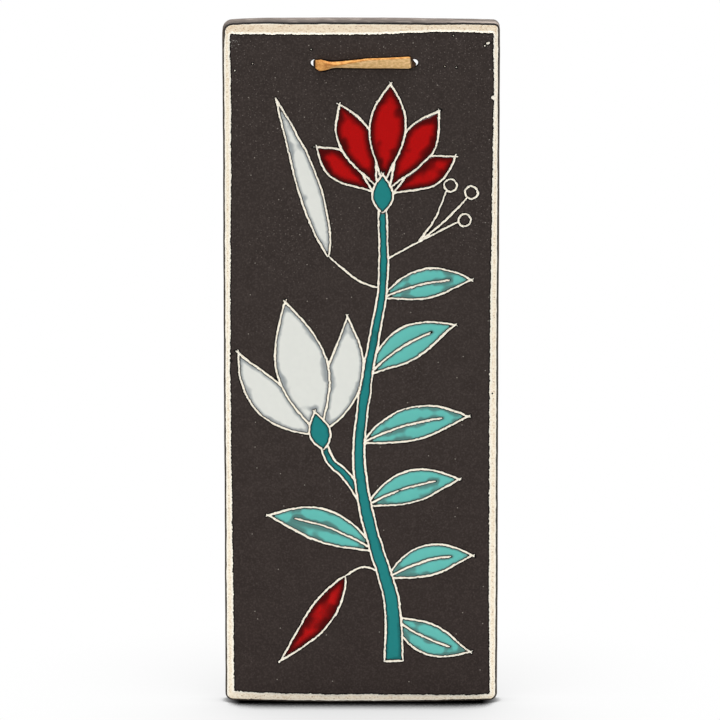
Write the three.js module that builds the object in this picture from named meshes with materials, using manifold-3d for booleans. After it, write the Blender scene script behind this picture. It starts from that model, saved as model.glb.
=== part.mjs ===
// A ceramic wall plaque with a scraped line picture, and the leather lace that it hangs by.
// Millimetres, +Z up. The front faces -Y, the flat back is the plane y = 0, and the origin is on the
// back between the two lace holes, where the plaque hangs.
import * as THREE from 'three';
import { mergeVertices } from 'three/addons/utils/BufferGeometryUtils.js';
import Module from 'manifold-3d';

const wasm = await Module();
wasm.setup();

// The fired slab
const WIDTH = 118;
const HEIGHT = 300;
const THICKNESS = 10;
const TOP_CORNER_RADIUS = 4.5;
const BOTTOM_CORNER_RADIUS = 3.5;
const EDGE_ROUNDING = 1.1;
const EDGE_ROUNDING_STEPS = 2;
const SIDE_STEPS = 6;
const TOP_DROOP = 0.7; // how far the top edge falls towards its corners
const BOTTOM_BOW = 1; // how far the bottom edge bulges below its corners

// The dark panel, which stands proud of the scraped border round it
const PANEL = [
  [-55, -144.4], [-43.5, -145.4], [-13, -146.2], [17, -145.9], [48, -146.4],
  [55.3, -145.8], [54.9, -60], [54.9, 0], [56.1, 115], [55.8, 144.8], [34, 145.4],
  [0, 144.2], [-54.9, 144.5], [-55.6, 144], [-55.2, 103], [-56, -8], [-55.3, -80],
];
const PANEL_STEP = 0.5;
const PANEL_ROOT = 2; // how deep the panel's solid is sunk into the slab before they are joined

// The two holes for the lace, from the middle of the plaque
const HOLE_DIAMETER = 3.8;
const HOLE_SIDES = 16;
const HOLE_HEIGHT = 132; // of their front ends
const HOLE_FALL = 1.5; // how much lower they come out at the back
const LEFT_HOLE = [-19.85, -0.1]; // x, and how far it was bored off that height
const RIGHT_HOLE = [22.5, 0];

// The scraped lines
const LINE_WIDTH = 1;
const LINE_DEPTH = 0.6;
const LINE_OVERSHOOT = 1.3; // a leaf's two sides cross and run on by this much
const LINE_TOLERANCE = 0.13; // how far a groove may stray from its curve
const SHORTEST_GROOVE = 1.2;
const SAMPLE = 0.4;
const CUT_CLEARANCE = 1;
const LENS_STEPS = 24;
const SPLINE_STEPS = 14;
const RING_SIDES = 10;

// The picture is a flowering plant. Its places are in mm from the middle of the front, and its cells
// are listed from front to back: a cell hides the lines of those after it.
const FAN_BLOOM = [9, 73];
const FAN_PETAL_ROOT = 5;
const FAN_PETALS = [
  // angle, length, half width
  [86, 50, 7.8],
  [58, 45, 7.2],
  [114, 45, 7.2],
  [31, 36, 6.2],
  [141, 36, 6.2],
];
const CUP_BLOOM = [-18, -30];
const CUP_PETALS = [
  // angle, length, half width, bow
  [104, 60, 11, 0],
  [134, 50, 7.6, 0.18],
  [77, 53, 7.6, -0.18],
];
const CALYXES = [
  // base, tip, half width
  [[9, 67], [9, 84], 4.4],
  [[-16, -37], [-20, -20], 4.4],
];
const STEM = [[14, -131], [13, -104], [4, -72], [-1, -42], [2, -8], [9, 34], [9, 70]];
const STEM_WIDTH = [8.5, 3.4];
const BRANCH = [[0, -58], [-7, -48], [-13, -42], [-16, -35]];
const BRANCH_WIDTH = [4.2, 3];
const BUDS = [
  // base, tip, bow, half width
  [[-14, 48], [-36, 116], -0.04, 4.8],
  [[-7, -93], [-35, -131], 0.08, 5.2],
];
const LEAVES = [
  // base, tip, bow, half width
  [[13, -111], [47, -127], -0.12, 6.6],
  [[11, -94], [48, -84], 0.16, 6.8],
  [[2, -62], [42, -50], 0.14, 7],
  [[0, -34], [46, -22], 0.12, 7.2],
  [[3, -4], [40, 18], 0.16, 7.2],
  [[9, 30], [47, 38], 0.12, 6.4],
  [[6, -82], [-40, -66], -0.14, 7.2],
];
const VEIN_SHARE = 0.8; // a leaf's middle line stops short of its tip
const STALKS = [
  [[9, 34], [-2, 38], [-14, 48]],
  [[10, -92], [1, -89], [-7, -93]],
  [[9, 46], [24, 54], [41, 63]],
  [[24, 54], [36, 64], [45.5, 74]],
  [[24, 54], [32, 66], [36.5, 77]],
];
const RINGS = [[44, 64], [47, 76], [38, 79]];
const RING_RADIUS = 2.6;

// The lace: a strip that lies on the front, goes through both holes and is tied behind
const LACE_THICKNESS = 1.6;
const LACE_CHAMFER = 0.35;
const LACE_STEPS = 3; // sections for each point of the route
const LACE_ROUTE = [
  // x, y, z, width, twist in degrees
  [-16.8, -11.8, -0.75, 4.8, 8],
  [-14, -11.85, -0.7, 3.7, 28],
  [-11.6, -11.85, -0.5, 3.2, 42],
  [-8, -11.75, -0.35, 3.3, 32],
  [-2, -11.55, -0.1, 3.8, 18],
  [5, -11.35, 0.1, 4.3, 8],
  [12.5, -11.2, 0.25, 4.7, 0],
  [18, -11.25, 0.35, 5.1, 0],
  [20.05, -11.3, 0.3, 4.6, 0],
  [22.1, -10.75, -0.15, 2, -25],
  [22.3, -8.6, -0.35, 2, -45],
  [22.25, -5, -0.9, 2, -45],
  [22.15, -1.4, -1.45, 2, -40],
  [21.7, 0.8, -1.65, 2.4, -25],
  [20.2, 1.6, -1.4, 4.4, 0],
  [18.2, 2.6, -1, 5, 0],
  [14, 5, -0.3, 5.1, 0],
  [9, 7, 0, 5.1, 0],
  [3, 7.2, 0, 5.1, 0],
  [-3, 6, 0, 5, 0],
  [-9, 4.4, 0, 4.6, 0],
  [-13.6, 2.6, -0.6, 4.6, 0],
  [-16.9, 1.7, -1.2, 4, 0],
  [-19.1, 0.7, -1.6, 2.4, 0],
  [-19.4, -1.4, -1.45, 2.2, 0],
  [-19.45, -5, -0.9, 2.2, 0],
  [-19.6, -8.6, -0.25, 2.1, 0],
  [-19.35, -10.8, -0.25, 2.2, 0],
];
const KNOT = [-9, 4.4, 0];
const KNOT_SIZE = [7.6, 6.8, 8.6];
const KNOT_TURN_RADIUS = 3.3;
const KNOT_TURN_THICKNESS = 2.2;
const KNOT_TURN_TILTS = [-0.35, 0.4];
const TAILS = [
  [[-10, 5.4, -1], [-12, 5, -8], [-14.5, 3.4, -15], [-15.5, 2.2, -21]],
  [[-8, 5.6, -1], [-6, 5.4, -7], [-4.5, 4, -12], [-4.5, 2.8, -17]],
];
const TAIL_WIDTH = 5;
const TAIL_STEPS = 6;

const CENTRE_Z = -HOLE_HEIGHT;

// Solids and meshes

function geometryOf(vertices, triangles) {
  const geometry = new THREE.BufferGeometry();
  geometry.setAttribute('position', new THREE.Float32BufferAttribute(vertices.flat(), 3));
  geometry.setIndex(triangles.flat());
  return geometry;
}

function solidOf(geometry) {
  const bare = geometry.clone();
  bare.deleteAttribute('normal');
  bare.deleteAttribute('uv');
  const merged = mergeVertices(bare, 1e-5);
  return new wasm.Manifold(new wasm.Mesh({
    numProp: 3,
    vertProperties: new Float32Array(merged.attributes.position.array),
    triVerts: new Uint32Array(merged.index.array),
  }));
}

function meshOf(name, solid, material) {
  const { vertProperties, triVerts } = solid.getMesh();
  const geometry = new THREE.BufferGeometry();
  geometry.setAttribute('position', new THREE.Float32BufferAttribute(vertProperties, 3));
  geometry.setIndex(Array.from(triVerts));
  geometry.computeVertexNormals();
  const mesh = new THREE.Mesh(geometry, material);
  mesh.name = name;
  return mesh;
}

function joined(solids) {
  return solids.reduce((sum, solid) => sum.add(solid));
}

// Turns a drawing in x and y, extruded along +Z, to stand upright and reach forward along -Y
function stoodUp(geometry) {
  geometry.rotateX(Math.PI / 2);
  geometry.translate(0, 0, CENTRE_Z);
  return geometry;
}

// A tube of the same flat section all along: each station has its centre and its two half axes
function sweep(stations, closed) {
  const corners = [];
  for (const { centre, wide, thick } of stations) {
    const halfWidth = wide.length();
    const halfThick = thick.length();
    const across = 1 - LACE_CHAMFER / halfWidth;
    const through = 1 - LACE_CHAMFER / halfThick;
    const section = [
      [1, through], [across, 1], [-across, 1], [-1, through],
      [-1, -through], [-across, -1], [across, -1], [1, -through],
    ];
    for (const [a, b] of section) {
      corners.push(centre.clone().addScaledVector(wide, a).addScaledVector(thick, b).toArray());
    }
  }
  const sides = 8;
  const triangles = [];
  const links = closed ? stations.length : stations.length - 1;
  for (let i = 0; i < links; i += 1) {
    const here = i * sides;
    const next = ((i + 1) % stations.length) * sides;
    for (let k = 0; k < sides; k += 1) {
      const other = (k + 1) % sides;
      triangles.push([here + k, here + other, next + k], [here + other, next + other, next + k]);
    }
  }
  if (!closed) {
    const last = (stations.length - 1) * sides;
    for (let k = 1; k < sides - 1; k += 1) {
      triangles.push([0, k + 1, k], [last, last + k, last + k + 1]);
    }
  }
  return geometryOf(corners, triangles);
}

// The slab

function slabOutline() {
  const shape = new THREE.Shape();
  const side = WIDTH / 2;
  const top = HEIGHT / 2;
  const foot = BOTTOM_CORNER_RADIUS;
  const head = TOP_CORNER_RADIUS;
  const low = -top + BOTTOM_BOW;
  const high = top - TOP_DROOP;
  const sideHeight = (k) => THREE.MathUtils.lerp(low + foot, high - head, k / SIDE_STEPS);
  shape.moveTo(-side + foot, low);
  shape.quadraticCurveTo(0, low - 2 * BOTTOM_BOW, side - foot, low);
  shape.absarc(side - foot, low + foot, foot, -Math.PI / 2, 0);
  for (let k = 1; k < SIDE_STEPS; k += 1) {
    shape.lineTo(side, sideHeight(k));
  }
  shape.absarc(side - head, high - head, head, 0, Math.PI / 2);
  shape.quadraticCurveTo(0, high + 2 * TOP_DROOP, -side + head, high);
  shape.absarc(-side + head, high - head, head, Math.PI / 2, Math.PI);
  for (let k = SIDE_STEPS - 1; k > 0; k -= 1) {
    shape.lineTo(-side, sideHeight(k));
  }
  shape.absarc(-side + foot, low + foot, foot, Math.PI, 1.5 * Math.PI);
  return shape;
}

function slabBody() {
  const geometry = new THREE.ExtrudeGeometry(slabOutline(), {
    depth: THICKNESS - PANEL_STEP - 2 * EDGE_ROUNDING,
    bevelThickness: EDGE_ROUNDING,
    bevelSize: EDGE_ROUNDING,
    bevelOffset: -EDGE_ROUNDING,
    bevelSegments: EDGE_ROUNDING_STEPS,
    curveSegments: 5,
  });
  geometry.translate(0, 0, EDGE_ROUNDING);
  return solidOf(stoodUp(geometry));
}

function panel() {
  const shape = new THREE.Shape(PANEL.map(vector));
  const geometry = new THREE.ExtrudeGeometry(shape, { depth: PANEL_ROOT, bevelEnabled: false });
  geometry.translate(0, 0, THICKNESS - PANEL_ROOT);
  return solidOf(stoodUp(geometry));
}

function laceHole([x, z]) {
  const long = THICKNESS + 2 * CUT_CLEARANCE;
  const geometry = new THREE.CylinderGeometry(HOLE_DIAMETER / 2, HOLE_DIAMETER / 2, long, HOLE_SIDES);
  geometry.rotateX(-Math.atan(HOLE_FALL / THICKNESS));
  geometry.translate(x, -THICKNESS / 2, z - HOLE_FALL / 2);
  return solidOf(geometry);
}

// The picture

function vector([x, y]) {
  return new THREE.Vector2(x, y);
}

function polar([x, y], degrees, length) {
  const angle = THREE.MathUtils.degToRad(degrees);
  return [x + length * Math.cos(angle), y + length * Math.sin(angle)];
}

function ranOn(points, by) {
  const end = points.at(-1);
  const before = points.at(-2);
  return [...points, end.clone().addScaledVector(end.clone().sub(before).normalize(), by)];
}

// A pointed cell from base to tip. fullness is where along it the cell is widest.
function lens(base, tip, bow, half, fullness = 0.5) {
  const from = vector(base);
  const to = vector(tip);
  const along = to.clone().sub(from);
  const across = new THREE.Vector2(-along.y, along.x);
  const middle = from.clone().add(to).multiplyScalar(0.5).addScaledVector(across, bow);
  const spine = new THREE.QuadraticBezierCurve(from, middle, to);
  const power = Math.log(0.5) / Math.log(fullness);
  const left = [];
  const right = [];
  for (let i = 0; i <= LENS_STEPS; i += 1) {
    const u = i / LENS_STEPS;
    const tangent = spine.getTangent(u);
    const normal = new THREE.Vector2(-tangent.y, tangent.x);
    const width = half * Math.sin(Math.PI * u ** power);
    const point = spine.getPoint(u);
    left.push(point.clone().addScaledVector(normal, width));
    right.push(point.clone().addScaledVector(normal, -width));
  }
  return {
    outline: [...left, ...right.reverse()],
    lines: [ranOn(left, LINE_OVERSHOOT), ranOn(right.toReversed(), LINE_OVERSHOOT)],
    spine: spine.getPoints(LENS_STEPS),
  };
}

// A stem: a band along a curve, wider at its foot
function band(points, [footWidth, topWidth]) {
  const curve = new THREE.SplineCurve(points.map(vector));
  const count = SPLINE_STEPS * (points.length - 1);
  const left = [];
  const right = [];
  for (let i = 0; i <= count; i += 1) {
    const u = i / count;
    const tangent = curve.getTangent(u);
    const normal = new THREE.Vector2(-tangent.y, tangent.x);
    const half = THREE.MathUtils.lerp(footWidth, topWidth, Math.sqrt(u)) / 2;
    const point = curve.getPoint(u);
    left.push(point.clone().addScaledVector(normal, half));
    right.push(point.clone().addScaledVector(normal, -half));
  }
  return {
    outline: [...left, ...right.toReversed()],
    lines: [left, right, [left[0], right[0]]],
  };
}

function pictureCells() {
  const cells = [];
  for (const [base, tip, half] of CALYXES) {
    cells.push(lens(base, tip, 0, half, 0.45));
  }
  for (const [angle, length, half] of FAN_PETALS) {
    const root = polar(FAN_BLOOM, angle, FAN_PETAL_ROOT);
    cells.push(lens(root, polar(FAN_BLOOM, angle, length), 0, half, 0.58));
  }
  for (const [angle, length, half, bow] of CUP_PETALS) {
    cells.push(lens(CUP_BLOOM, polar(CUP_BLOOM, angle, length), bow, half));
  }
  cells.push(band(STEM, STEM_WIDTH), band(BRANCH, BRANCH_WIDTH));
  for (const [base, tip, bow, half] of BUDS) {
    cells.push(lens(base, tip, bow, half, 0.41));
  }
  for (const [base, tip, bow, half] of LEAVES) {
    const leaf = lens(base, tip, bow, half);
    leaf.lines.push(leaf.spine.slice(0, Math.floor(LENS_STEPS * VEIN_SHARE)));
    cells.push(leaf);
  }
  return cells;
}

function holds(outline, point) {
  let inside = false;
  outline.forEach((a, i) => {
    const b = outline[(i + 1) % outline.length];
    const crosses = a.y > point.y !== b.y > point.y;
    if (crosses && point.x < ((b.x - a.x) * (point.y - a.y)) / (b.y - a.y) + a.x) {
      inside = !inside;
    }
  });
  return inside;
}

function sampled(line) {
  const points = [];
  for (let i = 0; i < line.length - 1; i += 1) {
    const count = Math.max(1, Math.floor(line[i].distanceTo(line[i + 1]) / SAMPLE));
    for (let k = 0; k < count; k += 1) {
      points.push(line[i].clone().lerp(line[i + 1], k / count));
    }
  }
  points.push(line.at(-1));
  return points;
}

// The stretches of a line that no cell in front of it hides
function shownRuns(line, covers) {
  const runs = [[]];
  for (const point of sampled(line)) {
    if (covers.some((outline) => holds(outline, point))) {
      runs.push([]);
    } else {
      runs.at(-1).push(point);
    }
  }
  return runs.filter((run) => run.length * SAMPLE > SHORTEST_GROOVE);
}

// As few of the points as keep the line within the tolerance
function thinned(points) {
  const first = points[0];
  const last = points.at(-1);
  const along = last.clone().sub(first);
  let worst = 0;
  let at = 0;
  points.forEach((point, i) => {
    const away = point.clone().sub(first);
    const gap = along.length() > SAMPLE ? Math.abs(along.cross(away)) / along.length() : away.length();
    if (gap > worst) {
      worst = gap;
      at = i;
    }
  });
  if (worst < LINE_TOLERANCE || at === 0 || at === points.length - 1) {
    return [first, last];
  }
  return [...thinned(points.slice(0, at + 1)).slice(0, -1), ...thinned(points.slice(at))];
}

// The solid that cuts one line: a strip of even width, from above the front down to the groove's floor
function groove(points) {
  const above = -THICKNESS - CUT_CLEARANCE;
  const floor = -THICKNESS + LINE_DEPTH;
  const vertices = [];
  points.forEach((point, i) => {
    const before = points[Math.max(i - 1, 0)];
    const after = points[Math.min(i + 1, points.length - 1)];
    const tangent = after.clone().sub(before).normalize();
    const x = (-tangent.y * LINE_WIDTH) / 2;
    const z = (tangent.x * LINE_WIDTH) / 2;
    const height = point.y + CENTRE_Z;
    vertices.push(
      [point.x + x, above, height + z],
      [point.x - x, above, height - z],
      [point.x - x, floor, height - z],
      [point.x + x, floor, height + z],
    );
  });
  const triangles = [];
  for (let i = 0; i < points.length - 1; i += 1) {
    for (let k = 0; k < 4; k += 1) {
      const a = 4 * i + k;
      const b = 4 * i + ((k + 1) % 4);
      triangles.push([a, b, a + 4], [b, b + 4, a + 4]);
    }
  }
  const end = 4 * (points.length - 1);
  triangles.push([0, 2, 1], [0, 3, 2], [end, end + 1, end + 2], [end, end + 2, end + 3]);
  return solidOf(geometryOf(vertices, triangles));
}

function pictureGrooves() {
  const cells = pictureCells();
  const grooves = [];
  const cut = (line, covers) => {
    for (const run of shownRuns(line, covers)) {
      grooves.push(groove(thinned(run)));
    }
  };
  cells.forEach((cell, i) => {
    const covers = cells.slice(0, i).map((other) => other.outline);
    cell.lines.forEach((line) => cut(line, covers));
  });
  const all = cells.map((cell) => cell.outline);
  for (const stalk of STALKS) {
    cut(new THREE.SplineCurve(stalk.map(vector)).getPoints(SPLINE_STEPS), all);
  }
  for (const [x, y] of RINGS) {
    const half = RING_RADIUS + LINE_WIDTH / 2;
    const ring = new THREE.Shape().absarc(x, y, half, 0, 2 * Math.PI);
    ring.holes.push(new THREE.Path().absarc(x, y, half - LINE_WIDTH, 0, 2 * Math.PI, true));
    const geometry = new THREE.ExtrudeGeometry(ring, {
      depth: LINE_DEPTH + CUT_CLEARANCE,
      bevelEnabled: false,
      curveSegments: RING_SIDES,
    });
    geometry.translate(0, 0, THICKNESS - LINE_DEPTH);
    grooves.push(solidOf(stoodUp(geometry)));
  }
  return joined(grooves);
}

function plaque() {
  const glazedClay = new THREE.MeshStandardMaterial({ color: 0x3a312e, roughness: 0.75, metalness: 0 });
  const holes = laceHole(LEFT_HOLE).add(laceHole(RIGHT_HOLE));
  const solid = slabBody().add(panel()).subtract(pictureGrooves()).subtract(holes);
  return meshOf('plaque', solid, glazedClay);
}

// The lace

function laceLoop() {
  const route = new THREE.CatmullRomCurve3(
    LACE_ROUTE.map(([x, y, z]) => new THREE.Vector3(x, y, z)),
    true,
  );
  const forms = new THREE.CatmullRomCurve3(
    LACE_ROUTE.map(([, , , width, twist]) => new THREE.Vector3(width, twist, 0)),
    true,
  );
  const up = new THREE.Vector3(0, 0, 1);
  const count = LACE_ROUTE.length * LACE_STEPS;
  const stations = [];
  for (let i = 0; i < count; i += 1) {
    const u = i / count;
    const { x: width, y: twist } = forms.getPoint(u);
    const tangent = route.getTangent(u);
    const angle = THREE.MathUtils.degToRad(twist);
    const wide = up.clone().projectOnPlane(tangent).normalize().applyAxisAngle(tangent, angle);
    const thick = tangent.clone().cross(wide);
    stations.push({
      centre: route.getPoint(u),
      wide: wide.multiplyScalar(width / 2),
      thick: thick.multiplyScalar(LACE_THICKNESS / 2),
    });
  }
  return solidOf(sweep(stations, true));
}

function laceTail(points) {
  const route = new THREE.CatmullRomCurve3(points.map((point) => new THREE.Vector3(...point)));
  const outward = new THREE.Vector3(0, 1, 0);
  const stations = [];
  for (let i = 0; i <= TAIL_STEPS; i += 1) {
    const tangent = route.getTangent(i / TAIL_STEPS);
    const wide = outward.clone().cross(tangent).normalize();
    const thick = tangent.clone().cross(wide);
    stations.push({
      centre: route.getPoint(i / TAIL_STEPS),
      wide: wide.multiplyScalar(TAIL_WIDTH / 2),
      thick: thick.multiplyScalar(LACE_THICKNESS / 2),
    });
  }
  return solidOf(sweep(stations, false));
}

function knot() {
  const heart = new THREE.SphereGeometry(0.5, 12, 8);
  heart.scale(...KNOT_SIZE);
  const turns = KNOT_TURN_TILTS.map((tilt) => {
    const turn = new THREE.TorusGeometry(KNOT_TURN_RADIUS, KNOT_TURN_THICKNESS / 2, 6, 14);
    turn.rotateY(Math.PI / 2);
    turn.rotateZ(tilt);
    return turn;
  });
  return joined([heart, ...turns].map((piece) => solidOf(piece.translate(...KNOT))));
}

function hangingLace() {
  const leather = new THREE.MeshStandardMaterial({ color: 0xd2a469, roughness: 0.7, metalness: 0 });
  const solid = joined([laceLoop(), knot(), ...TAILS.map(laceTail)]);
  return meshOf('hanging_lace', solid, leather);
}

const wallPlaque = new THREE.Group();
wallPlaque.add(plaque(), hangingLace());

export default wallPlaque;
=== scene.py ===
import math

import bpy
import numpy as np
from mathutils import Matrix, Vector
from mathutils.geometry import delaunay_2d_cdt
from mathutils.kdtree import KDTree


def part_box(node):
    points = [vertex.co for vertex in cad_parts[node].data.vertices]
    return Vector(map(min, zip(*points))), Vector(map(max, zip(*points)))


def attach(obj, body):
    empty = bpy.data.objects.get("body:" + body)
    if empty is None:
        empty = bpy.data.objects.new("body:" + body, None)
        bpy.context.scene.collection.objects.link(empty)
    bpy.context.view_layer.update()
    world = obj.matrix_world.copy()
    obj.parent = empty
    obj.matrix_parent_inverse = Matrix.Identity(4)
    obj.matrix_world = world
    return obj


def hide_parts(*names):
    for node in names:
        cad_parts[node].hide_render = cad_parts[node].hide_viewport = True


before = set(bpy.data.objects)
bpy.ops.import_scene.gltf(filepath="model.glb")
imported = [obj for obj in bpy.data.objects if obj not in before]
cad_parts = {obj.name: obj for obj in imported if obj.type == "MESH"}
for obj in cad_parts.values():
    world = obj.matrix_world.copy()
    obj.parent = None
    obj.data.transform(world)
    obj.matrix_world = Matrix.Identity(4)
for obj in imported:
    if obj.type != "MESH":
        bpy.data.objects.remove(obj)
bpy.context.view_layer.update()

MM = 0.001
plaque_low, plaque_high = (np.array(corner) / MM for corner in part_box("plaque"))
SIDE = plaque_high[0]
THICKNESS = plaque_high[1] - plaque_low[1]
TALL = plaque_high[2] - plaque_low[2]
FLOOR_Z = plaque_low[2]
HOLE_HEIGHT = 132  # of the lace holes' front ends, and of the frame's origin, above the middle

random = np.random.default_rng(7)

# The slab's outline and edges
TOP_CORNER_RADII = (3.2, 4.3)  # right, left
BOTTOM_CORNER_RADIUS = 3.5
CORNER_ANGLES = np.linspace(6, 84, 14)
TOP_DROOP = 0.7
BOTTOM_BOW = 1.0
OUTLINE_STEP = 0.8
SIDE_ROUNDING = 0.84  # also where the scraped border ends
SIDE_LEAN = 0.05  # how much more that is on the right, and less on the left
TOP_ROUNDING = 1.35
TOP_END_THINNING = 0.4
TOP_END_RUN = (25, 45)
BOTTOM_ROUNDING = 0.9
LEFT_SHOULDER = 0.7  # how much more of the edge is coated at the top left
SHOULDER_LENGTH = 14
TOP_CORNER_THINNING = 0.2  # how much less of the edge is coated there
ROUNDING_DRIFTS = [(0.05, 1.6)]
BACK_ROUNDING = 0.6
EDGE_WANDER = 0.11
EDGE_WAVES = [(5, 1, 1), (11, 0, 1), (29, 2, 0.7), (67, 0, 0.5)]  # waves all round, phase, size
RIGHT_WEAR = 0.12
RIGHT_WEAR_RUN = (-130, -30)
SIDE_DRIFTS = [(0.05, 3)]
HOLES = [(-19.85, HOLE_HEIGHT - 0.1), (22.5, HOLE_HEIGHT)]
HOLE_FALL = 1.5  # how much lower the holes come out at the back
HOLE_RADIUS = 1.62
HOLE_ROUNDING = 0.25
HOLE_SIDES = 28

# The front's levels, measured from the frame's front plane. A wave is its size and its reach.
PANEL_LEVEL = -0.12
PANEL_WAVES = [(0.07, 75), (0.02, 17)]
SCRAPE_DEPTH = 0.32
SCRAPE_SLOPE = 0.24
SCRAPE_WAVES = [(0.03, 3.1)]
SCRAPE_GRAIN = 0.035
BURR = 0.05
BURR_PLACE = 0.08
BURR_WIDTH = 0.18
GLAZE_DOME = 0.34
GLAZE_WAVES = [(0.05, 9)]
GLAZE_SHOULDER = 0.8
PIT_DEPTH = 0.3
BACK_HOLLOW = 0.04
BACK_WAVE = 60
PANEL = [
    (-55.1, -144.4), (-43.5, -145.4), (-13, -146.2), (17, -146.1), (48, -146.4),
    (55.6, -145.8), (55, -60), (55, 0), (56.2, 115), (55.9, 144.8), (34, 145.4),
    (0, 144.2), (-54.9, 144.5), (-55.7, 144), (-55.4, 103), (-56.2, -8), (-55.5, -80),
]

# The scraped lines. A drift is its size and its reach.
HALF_LINE = 0.375
STATION = 0.25
LINE_DRIFTS = [(0.1, 6), (0.05, 1.5)]
RAGGED_DRIFTS = [(0.05, 7), (0.085, 0.55)]
MOST_RAGGED = 0.25
PANEL_DRIFTS = [(0.12, 0.5), (0.06, 2.5), (0.07, 14)]
LINE_OVERSHOOT = 1.3
LINE_TAPER = 1.8
LINE_END_SHARE = 0.45
SHORTEST_LINE = 1.2
LENS_STEPS = 48
SPLINE_STEPS = 28

# The picture is a flowering plant, and its cells are listed from front to back
FAN_BLOOM = (9, 73)
FAN_PETAL_ROOT = 5
FAN_PETALS = [  # angle, length, half width
    (86, 50, 7.8), (58, 45, 7.2), (114, 45, 7.2), (31, 36, 6.2), (141, 36, 6.2),
]
CUP_BLOOM = (-18, -30)
CUP_PETALS = [(104, 60, 11, 0), (134, 50, 7.6, 0.18), (77, 53, 7.6, -0.18)]  # the last is the bow
CALYXES = [((9, 67), (9, 84), 4.4), ((-16, -37), (-20, -20), 4.4)]
STEM = [(14, -131), (13, -104), (4, -72), (-1, -42), (2, -8), (9, 34), (9, 70)]
STEM_WIDTH = (8.5, 3.4)
BRANCH = [(0, -58), (-7, -48), (-13, -42), (-16, -35)]
BRANCH_WIDTH = (4.2, 3)
BUDS = [  # glaze, base, tip, bow, half width
    ("white", (-14, 48), (-36, 116), -0.04, 4.8),
    ("red", (-7, -93), (-35, -131), 0.08, 5.2),
]
LEAVES = [  # base, tip, bow, half width
    ((13, -111), (47, -127), -0.12, 6.6),
    ((11, -94), (48, -84), 0.16, 6.8),
    ((2, -62), (42, -50), 0.14, 7),
    ((0, -34), (46, -22), 0.12, 7.2),
    ((3, -4), (40, 18), 0.16, 7.2),
    ((9, 30), (47, 38), 0.12, 6.4),
    ((6, -82), (-40, -66), -0.14, 7.2),
]
VEIN_SHARE = 0.8
STALKS = [
    [(9, 34), (-2, 38), (-14, 48)],
    [(10, -92), (1, -89), (-7, -93)],
    [(9, 46), (24, 54), (41, 63)],
    [(24, 54), (36, 64), (45.5, 74)],
    [(24, 54), (32, 66), (36.5, 77)],
]
RINGS = [(44, 64), (47, 76), (38, 79)]
RING_RADIUS = 2.6
RING_SIDES = 64

# Wear: chips down to the clay, and pits in the border, as (across, up, radius)
CHIPS = [
    (53.4, 140.4, 0.5), (54.1, 140.7, 0.4), (52.3, 139.4, 0.3), (55.9, 117.1, 0.8),
    (-53.6, 128.7, 0.28), (-46.1, 131.7, 0.24), (39, 143.8, 0.25), (35.4, 130.5, 0.22),
    (40.3, 130.1, 0.25), (6.4, 115.3, 0.24), (-21.2, 137.8, 0.22),
]
SCUFFED = (-53.2, 140.6, 3.6)  # a patch of the ground that is scuffed
PITS = [(56.2, -12.1, 0.4)]

# Spacing of the front's corners
LINE_STEP = 2  # stations
ROW_GAP = 0.28
FAR_ROW_GAP = 0.85
CLOSEST = 0.2
CELL_GRID = 1.0
GROUND_GRID = 2.4
BORDER_GRID = 0.8
BACK_GRID = 6.0
GRID_JITTER = 0.18
LACE_ROWS = (0, 0.3, 0.75)
LACE_ROW_STEP = 0.5
FRONT_ROOM = 0.4  # between the front's outline and its first corners
BACK_ROOMS = (1.2, 2.5)
FRONT_EDGE_ANGLES = (22, 45, 68, 90)
BACK_EDGE_ANGLES = (0, 30, 60)
SIDE_ROWS = 5
HOLE_DEPTHS = (2.5, 5, 7.5)  # of the rows in the middle of a hole's wall
SPOT_SIDES = 8

# Where the slab's faces are in the bake map
FRONT_MAP = (0.01, 0.51)
BACK_MAP = (0.53, 0.80)
EDGE_MAP = (0.82, 0.865)
STRIPS = 3  # the edge and the holes are mapped in this many upright strips
STRIP_PITCH = 0.055
HOLE_MAP = 0.875
HOLE_MAP_PITCH = 0.007
HOLE_MAP_STEP = 0.0006

GLAZES = {  # thin colour, full colour, where the dark rim ends, where it fills, patchiness, mottling
    "turquoise": ((0.085, 0.215, 0.195), (0.125, 0.51, 0.455), (0.22, 0.5), (0.3, 1.2), 2.6, 0.14),
    "teal": ((0.01, 0.13, 0.13), (0.014, 0.225, 0.222), (0.26, 0.55), (0.4, 1.1), 0.8, 0.25),
    "red": ((0.07, 0.0, 0.0), (0.46, 0.002, 0.002), (0.08, 0.7), (0.5, 3.4), 1.2, 0.1),
    "white": ((0.30, 0.325, 0.33), (0.76, 0.77, 0.72), (0.18, 0.48), (0.3, 1.7), 1.8, 0.1),
}
MATERIALS = ["ground", "clay", *GLAZES, "rim", "back", "hole"]

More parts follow.
